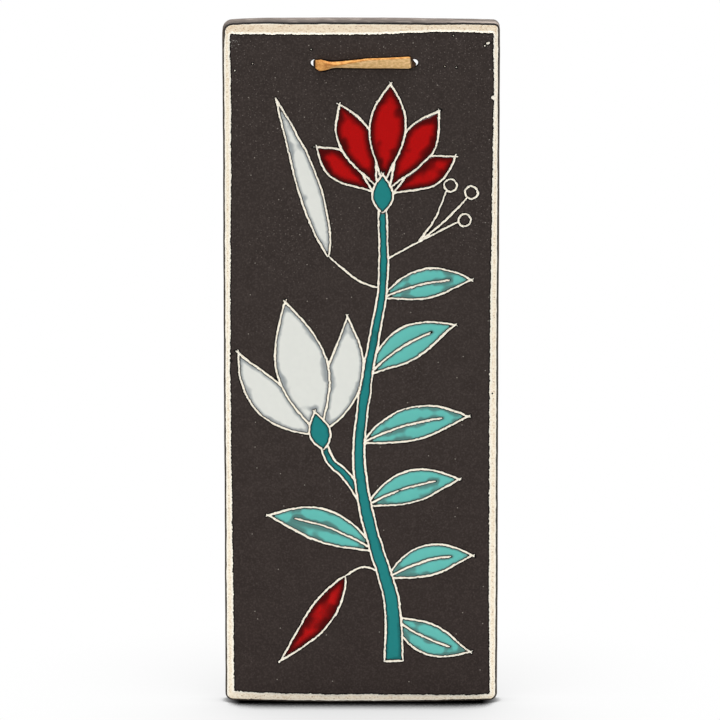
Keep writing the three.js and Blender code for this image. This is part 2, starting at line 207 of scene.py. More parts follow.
# The lace: x, y, z, width, thickness, twist in degrees, and how much of its outer face is orange
LACE_ROUTE = [
    (-18.1, -11.3, -0.52, 4.3, 1.5, 0, 1.1),
    (-16.9, -11.7, -0.7, 4.75, 1.6, 6, 1.1),
    (-14.7, -11.7, -0.75, 4.0, 1.8, 28, 1.0),
    (-11.7, -11.7, -0.5, 2.5, 2.0, 48, 0.64),
    (-8, -11.7, -0.35, 2.75, 1.95, 35, 0.43),
    (-3.5, -11.6, -0.18, 3.3, 1.75, 18, 0.24),
    (2.2, -11.35, 0.05, 4.1, 1.65, 10, 0.13),
    (8, -11.25, 0.15, 4.4, 1.6, 6, 0.1),
    (14, -11.2, 0.25, 4.6, 1.6, 3, 0.09),
    (18.5, -11.2, 0.33, 5.0, 1.6, 0, 0.08),
    (20.1, -11.15, 0.33, 5.1, 1.5, 0, 0.08),
    (20.8, -10.95, 0.15, 4.5, 1.45, -8, 0.08),
    (21.6, -10.4, -0.15, 3.6, 1.4, -30, 0.08),
    (21.95, -8.6, -0.2, 3.0, 1.4, -48, 0.08),
    (22.0, -5, -0.85, 2.8, 1.4, -48, 0.08),
    (22.1, -1.6, -1.45, 2.4, 1.4, -40, 0.08),
    (21.7, 0.8, -1.65, 2.7, 1.5, -25, 0.08),
    (20.2, 1.7, -1.4, 4.4, 1.6, 0, 0.08),
    (18.2, 2.6, -1.0, 5, 1.6, 0, 0.08),
    (14, 5, -0.3, 5.1, 1.6, 0, 0.08),
    (9, 7, 0, 5.1, 1.6, 0, 0.08),
    (3, 7.2, 0, 5.1, 1.6, 0, 0.08),
    (-3, 6, 0, 5, 1.6, 0, 0.08),
    (-9, 4.4, 0, 4.6, 1.6, 0, 0.08),
    (-13.6, 2.6, -0.6, 4.6, 1.6, 0, 0.1),
    (-16.9, 1.8, -1.2, 4, 1.6, 0, 0.2),
    (-19.1, 0.8, -1.6, 2.7, 1.5, 0, 0.4),
    (-19.45, -1.4, -1.45, 2.4, 1.4, 0, 0.7),
    (-19.6, -5, -0.9, 2.4, 1.4, 0, 1.1),
    (-19.65, -8.6, -0.3, 2.6, 1.4, 0, 1.1),
    (-19.1, -10.3, -0.3, 3.3, 1.4, 0, 1.1),
]
LACE_CREASE = 20.7  # where it folds into the right hole
LACE_EMERGES = -19.15  # where it comes out of the left one
LACE_FRONT_RUN = 11  # points of the route that are in front of the plaque
LACE_SHADE_FALL = 0.186  # how much lower each mm in front of the plaque looks
LACE_STEPS = 12  # stations for each point of the route
LACE_SECTION = 24
LACE_SQUARENESS = 4.5
LACE_DRIFTS = [(0.012, 1.5)]
KNOT = (-9.0, 4.3, 0.0)
KNOT_TURNS = [  # radius through the lace, radius up, width, thickness, tilt in degrees, shift along x
    (2.7, 3.3, 4.2, 1.3, -20, 0.5),
    (3.0, 3.5, 3.9, 1.2, 24, -0.4),
]
KNOT_STEPS = 72
KNOT_TONE = 0.25
TAILS = [  # points, each with its width
    [(-9.6, 6.2, 1, 3.6), (-10.6, 6.9, -2.4, 4.0), (-12.1, 5.6, -8, 4.9),
     (-14.3, 3.7, -15, 5.0), (-15.4, 2.5, -21, 4.8)],
    [(-8.4, 6.4, 1, 3.4), (-7.4, 7.1, -2.2, 4.0), (-6, 5.8, -7, 4.9),
     (-4.6, 4.2, -12, 5.0), (-4.4, 3.1, -16.8, 4.8)],
]
TAIL_THICKNESS = 1.5
TAIL_STATION = 0.35
TAIL_TONE = 0.2

# The camera and the light
CAMERA_DISTANCE = 2.84
CAMERA_ELEVATION = math.radians(13.2)
CAMERA_LENS = 331
CAMERA_SHIFT = (-0.0018, 0.005)
FLOOR_RADIUS = 0.6
LAMPS = [("sky", (0.0, -0.1, 0.9), (0.9, 0.6)), ("key", (-0.5, -1.5, 0.7), (0.9, 0.9))]
LAMP_TARGET = (0, 0, -0.13)
LAMP_POWER = 8
WHITE = (1, 1, 1, 1)


# Lines and outlines


def unit(vectors):
    return vectors / np.maximum(np.linalg.norm(vectors, axis=-1, keepdims=True), 1e-9)


def turned(vectors):
    """Vectors in the plane, turned a quarter to the left."""
    return np.stack([-vectors[:, 1], vectors[:, 0]], 1)


def smooth(value):
    value = np.clip(value, 0, 1)
    return value * value * (3 - 2 * value)


def ramp(value, low, high):
    """A smooth step from 0 to 1 while the value goes from low to high."""
    return smooth((value - low) / (high - low))


def turns(count, shift=0):
    """The angles of places spread evenly round a circle."""
    return (np.arange(count) + shift) * 2 * math.pi / count


def heading(points, closed=False):
    """The direction of a line at each of its points."""
    if closed:
        return unit(np.roll(points, -1, 0) - np.roll(points, 1, 0))
    return unit(np.gradient(points, axis=0))


def distances(points, place):
    return np.linalg.norm(points - place, axis=1)


def drift(count, reach, spacing):
    """Random wandering along a line, about one in size, that changes over `reach` mm."""
    at = np.arange(count) * spacing / reach
    knots = random.standard_normal(int(at[-1]) + 2)
    before = at.astype(int)
    share = smooth(at - before)
    return knots[before] * (1 - share) + knots[before + 1] * share


def drifts(count, kinds, spacing=STATION):
    return sum(size * drift(count, reach, spacing) for size, reach in kinds)


def ripple(points, reach):
    """Smooth unevenness over a surface, about one in size, with waves about `reach` mm long."""
    x, y = points[:, 0] * 2 * math.pi / reach, points[:, 1] * 2 * math.pi / reach
    waves = np.sin(x + 1.3 * np.sin(0.7 * y)) + np.sin(1.2 * y + 1.1 * np.sin(0.8 * x + 2))
    return (waves + np.sin(0.7 * (x - y) + 1)) / 3


def ripples(points, kinds):
    return sum(size * ripple(points, reach) for size, reach in kinds)


def resampled(points, step):
    """The line through the points, with a point each `step` or so."""
    lengths = np.linalg.norm(np.diff(points, axis=0), axis=1)
    along = np.r_[0, np.cumsum(lengths)]
    places = np.linspace(0, along[-1], max(2, round(along[-1] / step) + 1))
    return np.stack([np.interp(places, along, points[:, k]) for k in range(points.shape[1])], 1)


def inside(outline, points):
    """Which points lie inside the outline."""
    found = np.zeros(len(points), bool)
    low, high = outline.min(0), outline.max(0)
    near = np.flatnonzero(((points >= low) & (points <= high)).all(1))
    x, y = points[near].T
    hit = np.zeros(len(near), bool)
    for (x0, y0), (x1, y1) in zip(outline, np.roll(outline, -1, 0)):
        if y0 != y1:
            hit ^= ((y0 > y) != (y1 > y)) & (x < (x1 - x0) * (y - y0) / (y1 - y0) + x0)
    found[near] = hit
    return found


def catmull_rom(points, steps, closed=False):
    """A smooth curve through the points, with `steps` places for each of them."""
    points = np.array(points, float)
    before, after = (points[-1], points[:2]) if closed else (points[0], points[-1])
    padded = np.vstack([before, points, after])
    u = (np.arange(steps) / steps)[:, None]
    curve = []
    for a, b, c, d in zip(padded, padded[1:], padded[2:], padded[3:]):
        bend = (2 * a - 5 * b + 4 * c - d) * u ** 2 + (3 * b - 3 * c + d - a) * u ** 3
        curve.append(0.5 * (2 * b + (c - a) * u + bend))
    return np.vstack(curve if closed else [*curve, points[-1]])


def lens(base, tip, bow, half, fullness=0.5):
    """A pointed cell: its two sides from base to tip, and the line along its middle."""
    base, tip = np.array(base, float), np.array(tip, float)
    along = tip - base
    middle = (base + tip) / 2 + np.array([-along[1], along[0]]) * bow
    u = np.linspace(0, 1, LENS_STEPS + 1)[:, None]
    spine = (1 - u) ** 2 * base + 2 * u * (1 - u) * middle + u ** 2 * tip
    across = turned(unit(2 * (1 - u) * (middle - base) + 2 * u * (tip - middle)))
    width = half * np.sin(math.pi * u ** (math.log(0.5) / math.log(fullness)))
    return spine + across * width, spine - across * width, spine


def band(points, widths):
    """A stem's two sides."""
    curve = catmull_rom(points, SPLINE_STEPS)
    across = turned(heading(curve))
    share = np.sqrt(np.linspace(0, 1, len(curve)))[:, None]
    half = (widths[0] + (widths[1] - widths[0]) * share) / 2
    return curve + across * half, curve - across * half


def polar(place, degrees, length):
    angle = math.radians(degrees)
    return place[0] + length * math.cos(angle), place[1] + length * math.sin(angle)


def ran_on(line):
    return np.vstack([line, line[-1] + unit(line[-1] - line[-2]) * LINE_OVERSHOOT])


def picture():
    """The cells as (glaze, outline) from front to back, and the lines as (points, cells in front)."""
    cells, lines = [], []

    def cell(glaze, left, right, *marks):
        lines.extend((line, len(cells)) for line in marks)
        cells.append((glaze, np.vstack([left, right[::-1]])))

    def pointed(glaze, *shape, vein=False):
        left, right, spine = lens(*shape)
        marks = [ran_on(left), ran_on(right)]
        if vein:
            marks.append(spine[: int(LENS_STEPS * VEIN_SHARE)])
        cell(glaze, left, right, *marks)

    for base, tip, half in CALYXES:
        pointed("teal", base, tip, 0, half, 0.45)
    for angle, length, half in FAN_PETALS:
        root = polar(FAN_BLOOM, angle, FAN_PETAL_ROOT)
        pointed("red", root, polar(FAN_BLOOM, angle, length), 0, half, 0.58)
    for angle, length, half, bow in CUP_PETALS:
        pointed("white", CUP_BLOOM, polar(CUP_BLOOM, angle, length), bow, half)
    for points, widths in ((STEM, STEM_WIDTH), (BRANCH, BRANCH_WIDTH)):
        left, right = band(points, widths)
        cell("teal", left, right, left, right, np.array([left[0], right[0]]))
    for glaze, base, tip, bow, half in BUDS:
        pointed(glaze, base, tip, bow, half, 0.41)
    for leaf in LEAVES:
        pointed("turquoise", *leaf, vein=True)
    for stalk in STALKS:
        lines.append((catmull_rom(stalk, SPLINE_STEPS), len(cells)))
    return cells, lines


def ring(place, radius, count):
    angle = turns(count)
    return np.array(place) + radius * np.stack([np.cos(angle), np.sin(angle)], 1)


# Scraped lines as rows of stations, each with its half width to the left and to the right


def scraped(points, free=(True, True)):
    """One scraped line: places, the direction across it, and its half widths. A free end is narrower."""
    count = len(points)
    across = turned(heading(points))
    wander = drifts(count, LINE_DRIFTS)
    halves = []
    for _ in range(2):
        ragged = drifts(count, RAGGED_DRIFTS)
        halves.append(HALF_LINE + np.clip(ragged, -MOST_RAGGED, MOST_RAGGED))
    along = np.arange(count) * STATION
    for is_free, away in zip(free, (along, along[::-1])):
        if is_free:
            taper = LINE_END_SHARE + (1 - LINE_END_SHARE) * smooth(away / LINE_TAPER)
            halves = [half * taper for half in halves]
    return points + across * wander[:, None], across, *halves


def scraped_lines(cells, lines):
    """Every stretch of a line that no cell in front of it hides, scraped."""
    strokes = []
    for line, front in lines:
        points = resampled(line, STATION)
        hidden = np.zeros(len(points), bool)
        for _, outline in cells[:front]:
            hidden |= inside(outline, points)
        switches = np.flatnonzero(np.diff(np.r_[True, hidden, True]))
        for start, stop in zip(switches[::2], switches[1::2]):
            if (stop - start) * STATION > SHORTEST_LINE:
                free = (start == 0, stop == len(points))
                strokes.append(scraped(points[start:stop], free))
    for place in RINGS:
        circle = ring(place, RING_RADIUS, RING_SIDES)
        closed = resampled(np.vstack([circle, circle[:1]]), STATION)
        strokes.append(scraped(closed, (False, False)))
    return strokes


def lace_band(x):
    """The top and the bottom of the lace against the front, as seen from a little above."""
    route = catmull_rom(LACE_ROUTE[:LACE_FRONT_RUN], 6)
    twist = np.radians(np.abs(route[:, 5]))
    half = (route[:, 3] * np.cos(twist) + route[:, 4] * np.sin(twist)) / 2 + 0.1
    middle = HOLE_HEIGHT + route[:, 2] + (route[:, 1] + THICKNESS) * LACE_SHADE_FALL
    return (np.interp(x, route[:, 0], middle + sign * half) for sign in (1, -1))


def lace_gap(points):
    """How far points of the front are outside the lace, or less than nothing behind it."""
    x, up = points.T
    top, bottom = lace_band(x)
    return np.max([up - top, bottom - up, LACE_EMERGES - x, x - LACE_CREASE], axis=0)


class Scrapes:
    """Where the clay is bare: distances from the scraped lines, the chips and the panel's edge."""

    def __init__(self, strokes):
        chips = [(np.array([[x, y]]), np.array([[1, 0]]), [r], [r]) for x, y, r in CHIPS]
        parts = [*strokes, *chips]
        self.places = np.vstack([part[0] for part in parts])
        self.across = np.vstack([part[1] for part in parts])
        self.left = np.concatenate([part[2] for part in parts])
        self.right = np.concatenate([part[3] for part in parts])
        self.tree = self.tree_of(self.places)
        edge = resampled(np.array([*PANEL, PANEL[0]], float), STATION)[:-1]
        self.inward = turned(heading(edge, closed=True))
        self.panel = edge + self.inward * drifts(len(edge), PANEL_DRIFTS)[:, None]
        self.panel_tree = self.tree_of(self.panel)

    @staticmethod
    def tree_of(places):
        tree = KDTree(len(places))
        for i, (x, y) in enumerate(places):
            tree.insert((x, y, 0), i)
        tree.balance()
        return tree

    def line_gap(self, points):
        """How far each point is outside the nearest line or chip."""
        gaps = np.empty(len(points))
        for k, (x, y) in enumerate(points):
            gaps[k] = min(
                distance - (self.left[i] if self.across[i] @ (x - px, y - py) > 0 else self.right[i])
                for (px, py, _), i, distance in self.tree.find_n((x, y, 0), 3)
            )
        return gaps

    def panel_gap(self, points):
        """How far each point is inside the panel."""
        gaps = np.empty(len(points))
        for k, (x, y) in enumerate(points):
            (px, py, _), i, _ = self.panel_tree.find((x, y, 0))
            gaps[k] = self.inward[i] @ (x - px, y - py)
        return gaps


# The slab


def slab_outline():
    """The silhouette of the slab, counter-clockwise, and its outward directions."""
    foot = BOTTOM_CORNER_RADIUS
    right, left = TOP_CORNER_RADII
    low, high = -TALL / 2 + BOTTOM_BOW, TALL / 2 - TOP_DROOP
    t = np.linspace(-1, 1, 200)
    bottom_edge = np.stack([(SIDE - foot) * t, low - BOTTOM_BOW * (1 - t ** 2)], 1)
    fall = np.where(t < 0, t ** 2, t ** 6)
    ends = np.where(t < 0, right - SIDE, left - SIDE)
    top_edge = np.stack([ends * t, high + TOP_DROOP * (1 - fall)], 1)
    corners = []
    for sign_x, level, radius, start in (
        (1, low + foot, foot, -90), (1, high - right, right, 0),
        (-1, high - left, left, 90), (-1, low + foot, foot, 180),
    ):
        angle = np.radians(start + CORNER_ANGLES)
        middle = np.array([sign_x * (SIDE - radius), level])
        corners.append(middle + radius * np.stack([np.cos(angle), np.sin(angle)], 1))
    loop = np.vstack([bottom_edge, *corners[:2], top_edge, *corners[2:], bottom_edge[:1]])
    loop = resampled(loop, OUTLINE_STEP)[:-1]
    outward = -turned(heading(loop, closed=True))
    angle = turns(len(loop))
    wander = sum(size * np.sin(waves * angle + phase) for waves, phase, size in EDGE_WAVES)
    worn = EDGE_WANDER * (wander / sum(size for *_, size in EDGE_WAVES) - 1)
    worn -= RIGHT_WEAR * smooth(outward[:, 0]) * ramp(loop[:, 1], *RIGHT_WEAR_RUN)
    return loop + outward * worn[:, None], outward


def edge_rounding(outline, outward):
    """How far in from the silhouette the front begins, all round."""
    across, up = outward.T
    top = TOP_ROUNDING - TOP_END_THINNING * ramp(np.abs(outline[:, 0]), *TOP_END_RUN)
    shoulder = smooth(1 - (TALL / 2 - outline[:, 1]) / SHOULDER_LENGTH) * (outline[:, 0] < 0)
    rounding = (SIDE_ROUNDING + SIDE_LEAN * across + LEFT_SHOULDER * shoulder) * across ** 2
    rounding += np.where(up > 0, top, BOTTOM_ROUNDING) * up ** 2
    rounding -= TOP_CORNER_THINNING * np.abs(2 * across * up) * (up > 0)
    return rounding + np.clip(drifts(len(outline), ROUNDING_DRIFTS, OUTLINE_STEP), -0.12, 0.12)


def well_apart(groups, closest):
    """The points of the groups, less each that is closer than that to an earlier one."""
    taken, kept = {}, []
    for group in groups:
        for x, y in group:
            column, row = int(x // closest), int(y // closest)
            near = (
                other
                for dx in (-1, 0, 1)
                for dy in (-1, 0, 1)
                for other in taken.get((column + dx, row + dy), ())
            )
            if all((x - a) ** 2 + (y - b) ** 2 > closest ** 2 for a, b in near):
                taken.setdefault((column, row), []).append((x, y))
                kept.append((x, y))
    return np.array(kept)


def grid(spacing, half_width, half_height):
    """A loose triangular grid of points over the slab."""
    rows = np.arange(-half_height, half_height, spacing * 0.866)
    columns = np.arange(-half_width, half_width, spacing)
    x, y = np.meshgrid(columns, rows)
    x = x + spacing / 2 * (np.arange(len(rows)) % 2)[:, None]
    points = np.stack([x.ravel(), y.ravel()], 1)
    return points + random.uniform(-GRID_JITTER, GRID_JITTER, points.shape) * spacing


def stroke_rows(strokes):
    """Rows of points along the lines: their edges first, then the rows outside, within and between."""
    edges, outer, inner, middle, far = [], [], [], [], []
    for places, across, left, right in strokes:
        places, across = places[::LINE_STEP], across[::LINE_STEP]
        left, right = left[::LINE_STEP, None], -right[::LINE_STEP, None]
        for half, sign in ((left, 1), (right, -1)):
            edges.append(places + across * half)
            outer.append(places + across * (half + sign * ROW_GAP))
            inner.append(places + across * (half - sign * SCRAPE_SLOPE))
            far.append((places + across * (half + sign * FAR_ROW_GAP))[::2])
        shift = random.uniform(-0.1, 0.1, left.shape)
        middle.append(places + across * shift)
    return [*edges, *outer, *inner, *middle], far


def front_points(strokes, scrapes, cells):
    """The points that the front is made of, besides its outline and the holes."""
    panel, inward = scrapes.panel[::LINE_STEP], scrapes.inward[::LINE_STEP]
    panel_rows = [panel + inward * offset for offset in (0, ROW_GAP, -SCRAPE_SLOPE)]
    line_rows, far = stroke_rows(strokes)
    spots = CHIPS + PITS
    chips = [ring((x, y), r + more, SPOT_SIDES) for more in (0, ROW_GAP) for x, y, r in spots]
    chips.append(np.array([[x, y] for x, y, _ in spots]))
    far += [ring((x, y), r + FAR_ROW_GAP, SPOT_SIDES) for x, y, r in spots]
    far = np.vstack([*far, (panel + inward * FAR_ROW_GAP)[::2]])
    clear = np.minimum(scrapes.line_gap(far), scrapes.panel_gap(far)) > FAR_ROW_GAP * 0.7
    along = np.arange(LACE_EMERGES - 0.4, LACE_CREASE + 0.8, LACE_ROW_STEP)
    lace_rows = [
        np.stack([along, edge + sign * offset], 1)
        for edge, sign in zip(lace_band(along), (1, -1))
        for offset in LACE_ROWS
    ]
    fills = []
    for spacing, reach in ((CELL_GRID, 0.5), (GROUND_GRID, 1.0), (BORDER_GRID, 0.35)):
        points = grid(spacing, SIDE, TALL / 2)
        within = scrapes.panel_gap(points)
        if spacing == BORDER_GRID:
            points = points[within < -SCRAPE_SLOPE - reach / 2]
        else:
            in_cell = cell_of(points, cells) >= 0
            points = points[(within > reach) & (in_cell == (spacing == CELL_GRID))]
            points = points[scrapes.line_gap(points) > reach]
        fills.append(points)
    return [*line_rows, *chips, *panel_rows, *lace_rows, far[clear], *fills]


def cell_of(points, cells):
    """The index of the cell that shows at each point, or -1."""
    found = np.full(len(points), -1)
    for index in reversed(range(len(cells))):
        found[inside(cells[index][1], points)] = index
    return found


def front_height(points, gap, cell):
    """How far the front stands out there, in front of the frame's front plane."""
    level = PANEL_LEVEL + ripples(points, PANEL_WAVES)
    bare = smooth(-gap / SCRAPE_SLOPE)
    floor = ripples(points, SCRAPE_WAVES) + random.uniform(-SCRAPE_GRAIN, SCRAPE_GRAIN, len(points))
    burr = BURR * np.exp(-((gap - BURR_PLACE) / BURR_WIDTH) ** 2)
    pool = np.where(cell >= 0, 1 - np.exp(-np.maximum(gap, 0) / GLAZE_SHOULDER), 0)
    dome = pool * (GLAZE_DOME + ripples(points, GLAZE_WAVES))
    return level - bare * (SCRAPE_DEPTH - floor) + burr + dome


def sheet(rim, points, border, room, fall=0):
    """A face of the slab, off the holes: its points, its loops, and its triangles, counter-clockwise."""
    holes = [(x, y - fall) for x, y in HOLES]
    clear = inside(border, points)
    for hole in holes:
        clear &= distances(points, hole) > HOLE_RADIUS + room
    circles = [ring(hole, HOLE_RADIUS + HOLE_ROUNDING, HOLE_SIDES) for hole in holes]
    points = np.vstack([rim, *circles, points[clear]])
    starts = np.cumsum([0, len(rim), *map(len, circles)])
    loops = [np.arange(a, b) for a, b in zip(starts, starts[1:])]
    edges = [(loop[k - 1], loop[k]) for loop in loops for k in range(len(loop))]
    _, _, faces, origins, _, _ = delaunay_2d_cdt([Vector(p) for p in points], edges, [], 1, 1e-4)
    first = np.array([origin[0] for origin in origins])
    triangles = first[np.array([face[:] for face in faces])]
    for hole in holes:
        off = distances(points[triangles].mean(1), hole) >= HOLE_RADIUS + HOLE_ROUNDING / 2
        triangles = triangles[off]
    a, b, c = (points[triangles[:, k]] for k in range(3))
    area = (b - a)[:, 0] * (c - a)[:, 1] - (b - a)[:, 1] * (c - a)[:, 0]
    triangles[area < 0] = triangles[area < 0][:, ::-1]
    return points, loops, triangles


class Shell:
    """Gathers a mesh: its corners with their two measures, and its faces with material and bake map."""

    def __init__(self, materials):
        self.corners, self.measures, self.faces, self.materials, self.maps = [], [], [], [], []
        self.names = materials

    def add_corners(self, corners, measures):
        start = len(self.corners)
        self.corners.extend(corners.tolist())
        self.measures.extend(measures.tolist())
        return np.arange(start, start + len(corners))

    def add_face(self, corners, material, places=()):
        self.faces.append(tuple(int(corner) for corner in corners))
        self.materials.append(self.names.index(material))
        self.maps.extend(places)

    def add_belt(self, before, after, material, span, inward=False):
        """Quads between two closed rows of corners, mapped to upright strips."""
        count = len(before)
        for j in range(count):
            k = (j + 1) % count
            fold, low = divmod(j * STRIPS / count, 1)
            high = low + STRIPS / count
            left, right = (side + fold * STRIP_PITCH for side in span)
            quad = [before[j], after[j], after[k], before[k]]
            places = [(left, low), (right, low), (right, high), (left, high)]
            if inward:
                quad, places = quad[::-1], places[::-1]
            self.add_face(quad, material, places)

    def mesh(self, name, names):
        mesh = bpy.data.meshes.new(name)
        mesh.from_pydata([[c * MM for c in corner] for corner in self.corners], [], self.faces)
        for k, attribute in enumerate(names):
            layer = mesh.attributes.new(attribute, "FLOAT", "POINT")
            layer.data.foreach_set("value", np.array(self.measures, np.float32)[:, k])
        mesh.polygons.foreach_set("material_index", self.materials)
        mesh.polygons.foreach_set("use_smooth", [True] * len(self.faces))
        if self.maps:
            layer = mesh.uv_layers.new(name="OFBake")
            layer.data.foreach_set("uv", np.array(self.maps, np.float32).ravel())
        mesh.update()
        return mesh


def flat_places(points, span):
    """Where points of the front or the back are in the bake map."""
    across = span[0] + (points[:, 0] / SIDE + 1) / 2 * (span[1] - span[0])
    up = 0.01 + 0.98 * (points[:, 1] / TALL + 0.5)
    return np.stack([across, up], 1)


def in_frame(points, y):
    """Places on the front, at depth y, as places in the frame."""
    return np.stack([points[:, 0], y, points[:, 1] - HOLE_HEIGHT], 1)


def from_edge(points):
    """How far points are from the slab's silhouette."""
    return np.minimum(SIDE - np.abs(points[:, 0]), TALL / 2 - np.abs(points[:, 1]))


def slab_front(shell, strokes, cells, outline, outward, rounding):
    """The whole front. Returns the corners of its outer loop and of the holes."""
    scrapes = Scrapes(strokes)
    rim = outline - outward * rounding[:, None]
    border = outline - outward * (rounding + FRONT_ROOM)[:, None]
    points = well_apart(front_points(strokes, scrapes, cells), CLOSEST)
    points, loops, triangles = sheet(rim, points, border, HOLE_ROUNDING + 0.35)

    gap = np.minimum(scrapes.line_gap(points), scrapes.panel_gap(points))
    height = front_height(points, gap, cell_of(points, cells))
    for *pit, radius in PITS:
        height -= PIT_DEPTH * smooth(1.3 - distances(points, pit) / radius)
    corners = in_frame(points, -THICKNESS - height)
    # Painted shade: the ground behind the lace and just round it, as seen from a little above, is darkened
    # through the gap measure as the lace's shadow.
    lace_shade_gap = np.maximum(lace_gap(points), 0) + 0.14
    ids = shell.add_corners(corners, np.stack([np.minimum(gap, lace_shade_gap), from_edge(points)], 1))

    centres = points[triangles].mean(1)
    names = np.array(["ground", *(glaze for glaze, _ in cells)], object)
    material = names[cell_of(centres, cells) + 1]
    material[gap[triangles].mean(1) < 0] = "clay"
    for *pit, radius in PITS:
        material[distances(centres, pit) < radius] = "ground"
    places = flat_places(points, FRONT_MAP)
    for triangle, name in zip(triangles, material):
        shell.add_face(ids[triangle], name, places[triangle].tolist())
    return [ids[loop] for loop in loops], -corners[loops[0]][:, 1]


def slab_back(shell, outline, outward):
    """The flat back. Returns the corners of its outer loop and of the holes."""
    rim = outline - outward * BACK_ROUNDING
    near_rim = outline[::3] - outward[::3] * (BACK_ROUNDING + BACK_ROOMS[0])
    points = grid(BACK_GRID, SIDE, TALL / 2)
    points = np.vstack([near_rim, points[inside(outline - outward * BACK_ROOMS[1], points)]])
    points, loops, triangles = sheet(rim, points, rim, 2, HOLE_FALL)
    inset = from_edge(points)
    sunk = -BACK_HOLLOW * (1 + ripple(points, BACK_WAVE)) * ramp(inset, 1, 9)
    ids = shell.add_corners(in_frame(points, sunk), np.stack([inset, inset], 1))
    places = flat_places(points * (-1, 1), BACK_MAP)
    for triangle in triangles[:, ::-1]:
        shell.add_face(ids[triangle], "back", places[triangle].tolist())
    return [ids[loop] for loop in loops]


def slab_edge(shell, outline, outward, rounding, lip, front_loops, back_loops):
    """The rounded front edge, the sides, the rounded back edge and the walls of the holes."""
    angles = np.radians(FRONT_EDGE_ANGLES)
    rows = [(rounding * (1 - np.sin(t)), -lip + rounding * (1 - np.cos(t))) for t in angles]
    for depth in np.linspace(0, 1, SIDE_ROWS + 2)[1:-1]:
        level = rows[3][1] * (1 - depth) - BACK_ROUNDING * depth
        inset = drifts(len(outline), SIDE_DRIFTS, OUTLINE_STEP)
        rows.append((inset.clip(-0.05, 0.1) + 0.05, level))
    back = np.full(len(outline), BACK_ROUNDING)
    rows += [(back * (1 - np.cos(t)), -back * (1 - np.sin(t))) for t in np.radians(BACK_EDGE_ANGLES)]
    belts = [front_loops[0]]
    for k, (inset, level) in enumerate(rows):
        points = outline - outward * inset[:, None]
        measures = np.stack([(k + 1) * rounding / 4, outward[:, 1].clip(0, 1)], 1)
        belts.append(shell.add_corners(in_frame(points, level), measures))
    belts.append(back_loops[0])
    sides = np.linspace(*EDGE_MAP, len(belts))
    for before, after, span in zip(belts, belts[1:], zip(sides, sides[1:])):
        shell.add_belt(before, after, "rim", span)

    edge = HOLE_ROUNDING
    levels = [edge / 6, edge / 2, edge, *HOLE_DEPTHS, THICKNESS - edge, THICKNESS - edge / 2]
    flares = [edge * share for share in (0.55, 0.2, 0, 0, 0, 0, 0, 0.2)]
    for n, (x, y) in enumerate(HOLES):
        belts = [front_loops[n + 1]]
        for level, flare in zip(levels, flares):
            circle = ring((x, y - HOLE_FALL * level / THICKNESS), HOLE_RADIUS + flare, HOLE_SIDES)
            corners = in_frame(circle, np.full(HOLE_SIDES, level - THICKNESS))
            belts.append(shell.add_corners(corners, np.full((HOLE_SIDES, 2), 3.0)))
        belts.append(back_loops[n + 1])
        sides = HOLE_MAP + HOLE_MAP_PITCH * n + HOLE_MAP_STEP * np.arange(len(belts))
        for before, after, span in zip(belts, belts[1:], zip(sides, sides[1:])):
            shell.add_belt(before, after, "hole", span, inward=True)


def fired_slab(materials):
    cells, lines = picture()
    strokes = scraped_lines(cells, lines)
    outline, outward = slab_outline()
    rounding = edge_rounding(outline, outward)
    shell = Shell(MATERIALS)
    front_loops, lip = slab_front(shell, strokes, cells, outline, outward, rounding)
    back_loops = slab_back(shell, outline, outward)
    slab_edge(shell, outline, outward, rounding, lip, front_loops, back_loops)
    slab = bpy.data.objects.new("fired_slab", shell.mesh("fired_slab", ("gap", "inset")))
    for material in materials:
        slab.data.materials.append(material)
    return slab


# The lace


def section(width, thickness):
    """A flat strip's section with rounded edges: places along its width and through it."""
    angle = turns(LACE_SECTION, 0.5)
    power = 2 / LACE_SQUARENESS
    wide, deep = (np.sign(wave) * np.abs(wave) ** power for wave in (np.cos(angle), np.sin(angle)))
    return wide * width / 2, deep * thickness / 2


def strip(centres, tangents, wides, widths, thicknesses, closed):
    """The corners and faces of a strip swept through the stations."""
    count = len(centres)
    corners = []
    for centre, tangent, wide, width, thickness in zip(centres, tangents, wides, widths, thicknesses):
        deep = np.cross(tangent, wide)
        across, through = section(width, thickness)
        corners.append(centre + np.outer(across, wide) + np.outer(through, deep))
    faces = []
    for i in range(count if closed else count - 1):
        here, there = i * LACE_SECTION, (i + 1) % count * LACE_SECTION
        for k in range(LACE_SECTION):
            other = (k + 1) % LACE_SECTION
            faces.append((here + k, here + other, there + other, there + k))
    if not closed:
        last = (count - 1) * LACE_SECTION
        faces.append(tuple(range(LACE_SECTION))[::-1])
        faces.append(tuple(last + k for k in range(LACE_SECTION)))
    return np.array(corners), faces


